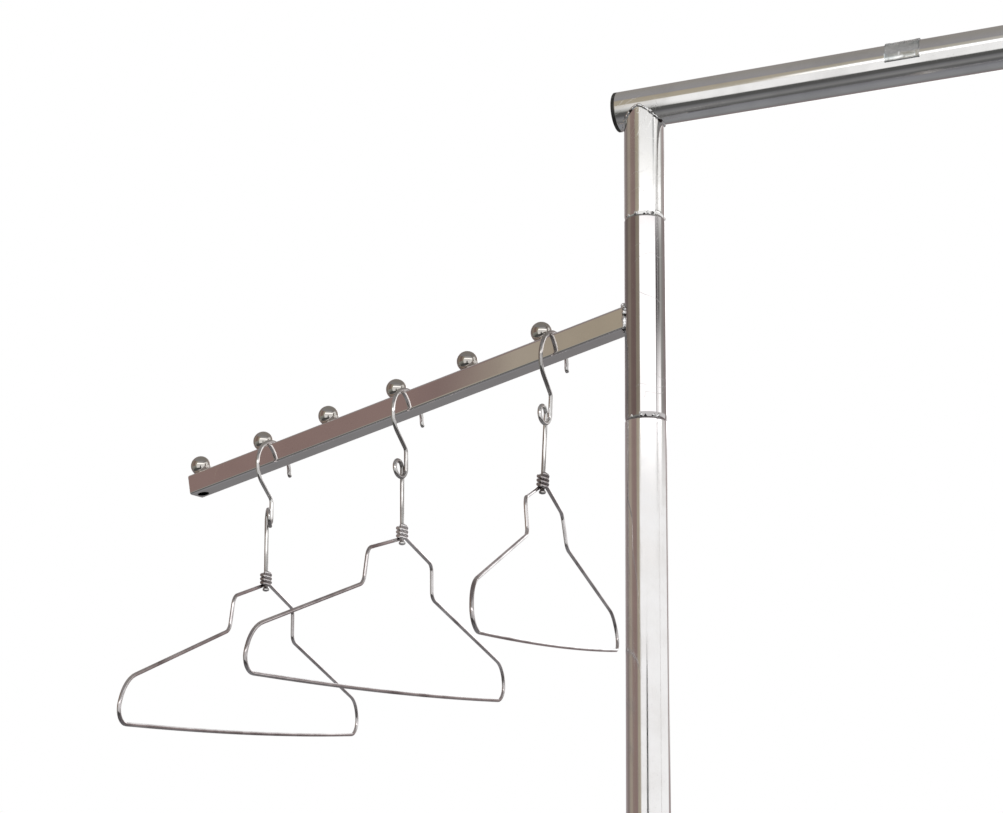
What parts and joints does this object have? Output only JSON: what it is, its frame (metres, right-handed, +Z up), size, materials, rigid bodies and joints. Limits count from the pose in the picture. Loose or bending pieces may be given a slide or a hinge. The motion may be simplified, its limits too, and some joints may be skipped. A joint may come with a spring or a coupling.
{
  "type": "clothes stand",
  "caption": "Free-standing chrome clothes stand: round rail on plug-together uprights, with a sloping side arm of stop balls carrying wire hangers.",
  "frame": {"origin": "on the floor, under the middle of the whole object", "axes": "+Z up, +X along the rail away from the side arm, +Y to the back"},
  "size_m": [1.6116, 0.56, 1.7672],
  "materials": {
    "tube_chrome": "bright chrome plate with fine scratches",
    "arm_chrome": "bright chrome plate on square tube",
    "ball_chrome": "mirror chrome",
    "hook_wire": "chrome-plated drawn wire",
    "frame_wire": "chrome-plated drawn wire",
    "plug_steel": "plain zinc-plated steel",
    "black_plastic": "moulded, lightly grained",
    "clear_plastic": "clear moulded plastic"
  },
  "bodies": {
    "stand": {"rail_tube": "tube_chrome", "rail_clip": "clear_plastic", "rail_end_cap_left": "black_plastic", "rail_end_cap_right": "black_plastic", "rail_stub_left": "tube_chrome", "rail_stub_right": "tube_chrome", "rail_spigot_left": "plug_steel", "rail_spigot_right": "plug_steel", "spacer_right": "tube_chrome", "spacer_spigot_right": "plug_steel", "post_left": "tube_chrome", "post_right": "tube_chrome", "post_spigot_left": "plug_steel", "post_spigot_right": "plug_steel", "base_stub_left": "tube_chrome", "base_stub_right": "tube_chrome", "foot_left": "tube_chrome", "foot_right": "tube_chrome", "foot_caps_left": "black_plastic", "foot_caps_right": "black_plastic", "foot_glides_left": "black_plastic", "foot_glides_right": "black_plastic", "bottom_rail": "tube_chrome", "bottom_rail_plugs": "plug_steel", "bottom_rail_bolts": "plug_steel"},
    "side_arm": {"arm_sleeve": "tube_chrome", "arm_spigot": "plug_steel", "arm_bar": "arm_chrome", "arm_end_plate": "arm_chrome", "stop_ball_1": "ball_chrome", "stop_ball_2": "ball_chrome", "stop_ball_3": "ball_chrome", "stop_ball_4": "ball_chrome", "stop_ball_5": "ball_chrome", "stop_ball_6": "ball_chrome"},
    "hook_1": {"hook_1": "hook_wire"},
    "hanger_1": {"hanger_1": "frame_wire"},
    "hook_2": {"hook_2": "hook_wire"},
    "hanger_2": {"hanger_2": "frame_wire"},
    "hook_3": {"hook_3": "hook_wire"},
    "hanger_3": {"hanger_3": "frame_wire"}
  },
  "joints": [
    {"name": "arm_turn", "type": "hinge", "parent": "stand", "child": "side_arm", "pos_m": [-0.36716, 0, 1.578], "axis": [0, 0, 1], "continuous": true},
    {"name": "hook_1_swing", "type": "hinge", "parent": "side_arm", "child": "hook_1", "pos_m": [-0.71669, 0.03058, 1.48716], "axis": [-0.995, 0.0871, -0.0489], "range_deg": [-20, 20]},
    {"name": "hanger_1_swivel", "type": "hinge", "parent": "hook_1", "child": "hanger_1", "pos_m": [-0.71508, 0.02581, 1.38414], "axis": [-0.0487, 0.0043, 0.9988], "range_deg": [-25, 25]},
    {"name": "hook_2_swing", "type": "hinge", "parent": "side_arm", "child": "hook_2", "pos_m": [-0.58148, 0.01875, 1.5185], "axis": [-0.9955, 0.0871, -0.0366], "range_deg": [-20, 20]},
    {"name": "hanger_2_swivel", "type": "hinge", "parent": "hook_2", "child": "hanger_2", "pos_m": [-0.58171, 0.01646, 1.41543], "axis": [-0.0365, 0.0032, 0.9993], "range_deg": [-25, 25]},
    {"name": "hook_3_swing", "type": "hinge", "parent": "side_arm", "child": "hook_3", "pos_m": [-0.44607, 0.0069, 1.54988], "axis": [-0.9955, 0.0871, 0.0384], "range_deg": [-20, 20]},
    {"name": "hanger_3_swivel", "type": "hinge", "parent": "hook_3", "child": "hanger_3", "pos_m": [-0.454, 0.00529, 1.4471], "axis": [0.0382, -0.0033, 0.9993], "range_deg": [-25, 25]}
  ]
}
